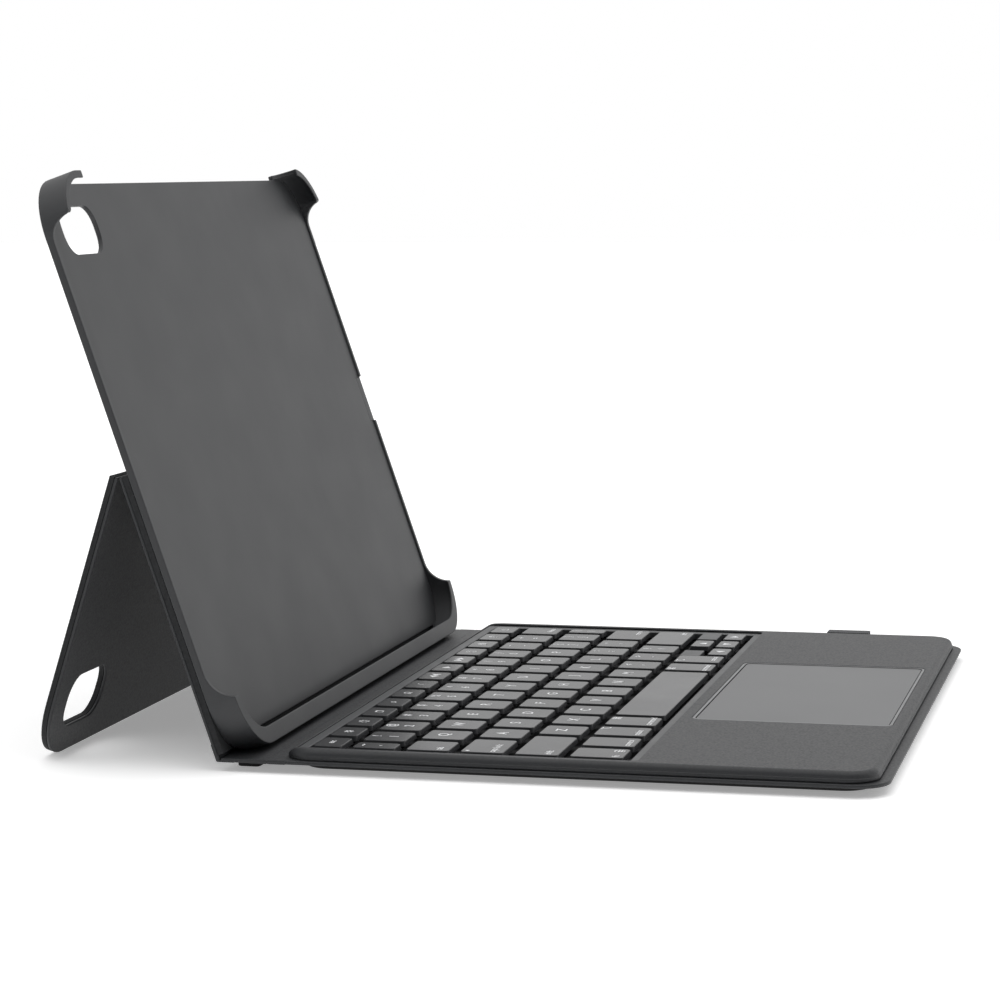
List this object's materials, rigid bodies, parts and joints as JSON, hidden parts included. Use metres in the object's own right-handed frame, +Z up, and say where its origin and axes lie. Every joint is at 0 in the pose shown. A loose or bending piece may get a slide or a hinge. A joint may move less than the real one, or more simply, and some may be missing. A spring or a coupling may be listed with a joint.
{
  "type": "tablet keyboard case",
  "caption": "Open folio keyboard case for a slate computer: tray with corner grips, fold-out kickstand, hinged flap, flat keyboard and trackpad.",
  "frame": {"origin": "on the table (z = 0), at the middle of the front rubber foot of the keyboard", "axes": "+X to the right of a seated user, +Y away from the user towards the tray and kickstand, +Z up from the table"},
  "size_m": [0.2576, 0.2611, 0.1798],
  "materials": {
    "hard_shell": "satin",
    "cover_skin": "fine grain, matt",
    "board": "matt",
    "lining": "napped",
    "elastic": "woven",
    "hinge_steel": "satin",
    "magnet": "plated",
    "underside": "matt",
    "rubber_feet": "matt",
    "bezel": "smooth",
    "keycap": "satin",
    "pad_surface": "etched",
    "switch_parts": "matt",
    "film": "matt",
    "silicone": "matt",
    "circuit": "solder mask",
    "cell": "foil pouch"
  },
  "bodies": {
    "keyboard": {"backing_sheet": "cover_skin", "deck_skin": "cover_skin", "key_bezel": "bezel", "bottom_tray": "underside", "foot_front": "rubber_feet", "foot_rear": "rubber_feet", "stylus_loop": "elastic", "support_plate": "hinge_steel", "membrane": "film", "dome_mat": "silicone", "scissor_frames": "switch_parts", "plate_screws": "hinge_steel", "main_board": "circuit", "battery": "cell", "charging_port": "hinge_steel", "trackpad_bezel": "bezel", "trackpad_switch": "switch_parts"},
    "trackpad": {"trackpad_plate": "pad_surface", "trackpad_board": "circuit"},
    "flap_strip": {"flap_front": "cover_skin"},
    "flap": {"flap_rear": "cover_skin", "flap_foot": "rubber_feet"},
    "tray_unit": {"tray": "hard_shell", "lower_back_skin": "cover_skin", "lower_back_board": "board", "stand_keepers": "hinge_steel", "hinge_fixed_leaf_left": "hinge_steel", "hinge_fixed_leaf_right": "hinge_steel", "hinge_pin_left": "hinge_steel", "hinge_pin_right": "hinge_steel"},
    "kickstand": {"stand_skin": "cover_skin", "stand_board": "board", "stand_lining": "lining", "stand_magnets": "magnet", "hinge_moving_leaf_left": "hinge_steel", "hinge_moving_leaf_right": "hinge_steel"},
    "keys_function": {"keys_function": "keycap"},
    "keys_number": {"keys_number": "keycap"},
    "keys_upper_letters": {"keys_upper_letters": "keycap"},
    "keys_home_letters": {"keys_home_letters": "keycap"},
    "keys_lower_letters": {"keys_lower_letters": "keycap"},
    "key_delete": {"key_delete": "keycap"},
    "key_tab": {"key_tab": "keycap"},
    "key_caps_lock": {"key_caps_lock": "keycap"},
    "key_return": {"key_return": "keycap"},
    "key_shift_left": {"key_shift_left": "keycap"},
    "key_shift_right": {"key_shift_right": "keycap"},
    "key_globe": {"key_globe": "keycap"},
    "key_control": {"key_control": "keycap"},
    "key_option_left": {"key_option_left": "keycap"},
    "key_command_left": {"key_command_left": "keycap"},
    "key_space": {"key_space": "keycap"},
    "key_command_right": {"key_command_right": "keycap"},
    "key_option_right": {"key_option_right": "keycap"},
    "key_arrow_left": {"key_arrow_left": "keycap"},
    "key_arrow_down": {"key_arrow_down": "keycap"},
    "key_arrow_up": {"key_arrow_up": "keycap"},
    "key_arrow_right": {"key_arrow_right": "keycap"}
  },
  "joints": [
    {"name": "keyboard_crease", "type": "hinge", "parent": "keyboard", "child": "flap_strip", "pos_m": [0, 0.1611, 0.0034], "axis": [1, 0, 0], "range_deg": [0, 61]},
    {"name": "middle_crease", "type": "hinge", "parent": "flap_strip", "child": "flap", "pos_m": [0, 0.1669, 0.0034], "axis": [1, 0, 0], "range_deg": [0, 48]},
    {"name": "tray_crease", "type": "hinge", "parent": "flap", "child": "tray_unit", "pos_m": [0, 0.1794, 0.0034], "axis": [1, 0, 0], "range_deg": [-71, 0]},
    {"name": "kickstand_hinge", "type": "hinge", "parent": "tray_unit", "child": "kickstand", "pos_m": [0, 0.2092, 0.08825], "axis": [-1, 0, 0], "range_deg": [-143.37, 25]},
    {"name": "trackpad_click", "type": "hinge", "parent": "keyboard", "child": "trackpad", "pos_m": [0, 0.0472, 0.00715], "axis": [1, 0, 0], "range_deg": [0, 0.3], "stiffness_Nm_per_rad": 20, "springref_deg": -0.23},
    {"name": "keys_function_press", "type": "slide", "parent": "keyboard", "child": "keys_function", "axis": [0, 0, -1], "range_m": [0, 0.0012], "stiffness_N_per_m": 2100, "springref_m": -0.0012},
    {"name": "keys_number_press", "type": "slide", "parent": "keyboard", "child": "keys_number", "axis": [0, 0, -1], "range_m": [0, 0.0012], "stiffness_N_per_m": 1950, "springref_m": -0.0012},
    {"name": "keys_upper_letters_press", "type": "slide", "parent": "keyboard", "child": "keys_upper_letters", "axis": [0, 0, -1], "range_m": [0, 0.0012], "stiffness_N_per_m": 1950, "springref_m": -0.0012},
    {"name": "keys_home_letters_press", "type": "slide", "parent": "keyboard", "child": "keys_home_letters", "axis": [0, 0, -1], "range_m": [0, 0.0012], "stiffness_N_per_m": 1650, "springref_m": -0.0012},
    {"name": "keys_lower_letters_press", "type": "slide", "parent": "keyboard", "child": "keys_lower_letters", "axis": [0, 0, -1], "range_m": [0, 0.0012], "stiffness_N_per_m": 1500, "springref_m": -0.0012},
    {"name": "key_delete_press", "type": "slide", "parent": "keyboard", "child": "key_delete", "axis": [0, 0, -1], "range_m": [0, 0.0012], "stiffness_N_per_m": 150, "springref_m": -0.0012},
    {"name": "key_tab_press", "type": "slide", "parent": "keyboard", "child": "key_tab", "axis": [0, 0, -1], "range_m": [0, 0.0012], "stiffness_N_per_m": 150, "springref_m": -0.0012},
    {"name": "key_caps_lock_press", "type": "slide", "parent": "keyboard", "child": "key_caps_lock", "axis": [0, 0, -1], "range_m": [0, 0.0012], "stiffness_N_per_m": 150, "springref_m": -0.0012},
    {"name": "key_return_press", "type": "slide", "parent": "keyboard", "child": "key_return", "axis": [0, 0, -1], "range_m": [0, 0.0012], "stiffness_N_per_m": 150, "springref_m": -0.0012},
    {"name": "key_shift_left_press", "type": "slide", "parent": "keyboard", "child": "key_shift_left", "axis": [0, 0, -1], "range_m": [0, 0.0012], "stiffness_N_per_m": 150, "springref_m": -0.0012},
    {"name": "key_shift_right_press", "type": "slide", "parent": "keyboard", "child": "key_shift_right", "axis": [0, 0, -1], "range_m": [0, 0.0012], "stiffness_N_per_m": 150, "springref_m": -0.0012},
    {"name": "key_globe_press", "type": "slide", "parent": "keyboard", "child": "key_globe", "axis": [0, 0, -1], "range_m": [0, 0.0012], "stiffness_N_per_m": 150, "springref_m": -0.0012},
    {"name": "key_control_press", "type": "slide", "parent": "keyboard", "child": "key_control", "axis": [0, 0, -1], "range_m": [0, 0.0012], "stiffness_N_per_m": 150, "springref_m": -0.0012},
    {"name": "key_option_left_press", "type": "slide", "parent": "keyboard", "child": "key_option_left", "axis": [0, 0, -1], "range_m": [0, 0.0012], "stiffness_N_per_m": 150, "springref_m": -0.0012},
    {"name": "key_command_left_press", "type": "slide", "parent": "keyboard", "child": "key_command_left", "axis": [0, 0, -1], "range_m": [0, 0.0012], "stiffness_N_per_m": 150, "springref_m": -0.0012},
    {"name": "key_space_press", "type": "slide", "parent": "keyboard", "child": "key_space", "axis": [0, 0, -1], "range_m": [0, 0.0012], "stiffness_N_per_m": 150, "springref_m": -0.0012},
    {"name": "key_command_right_press", "type": "slide", "parent": "keyboard", "child": "key_command_right", "axis": [0, 0, -1], "range_m": [0, 0.0012], "stiffness_N_per_m": 150, "springref_m": -0.0012},
    {"name": "key_option_right_press", "type": "slide", "parent": "keyboard", "child": "key_option_right", "axis": [0, 0, -1], "range_m": [0, 0.0012], "stiffness_N_per_m": 150, "springref_m": -0.0012},
    {"name": "key_arrow_left_press", "type": "slide", "parent": "keyboard", "child": "key_arrow_left", "axis": [0, 0, -1], "range_m": [0, 0.0012], "stiffness_N_per_m": 150, "springref_m": -0.0012},
    {"name": "key_arrow_down_press", "type": "slide", "parent": "keyboard", "child": "key_arrow_down", "axis": [0, 0, -1], "range_m": [0, 0.0012], "stiffness_N_per_m": 150, "springref_m": -0.0012},
    {"name": "key_arrow_up_press", "type": "slide", "parent": "keyboard", "child": "key_arrow_up", "axis": [0, 0, -1], "range_m": [0, 0.0012], "stiffness_N_per_m": 150, "springref_m": -0.0012},
    {"name": "key_arrow_right_press", "type": "slide", "parent": "keyboard", "child": "key_arrow_right", "axis": [0, 0, -1], "range_m": [0, 0.0012], "stiffness_N_per_m": 150, "springref_m": -0.0012}
  ]
}
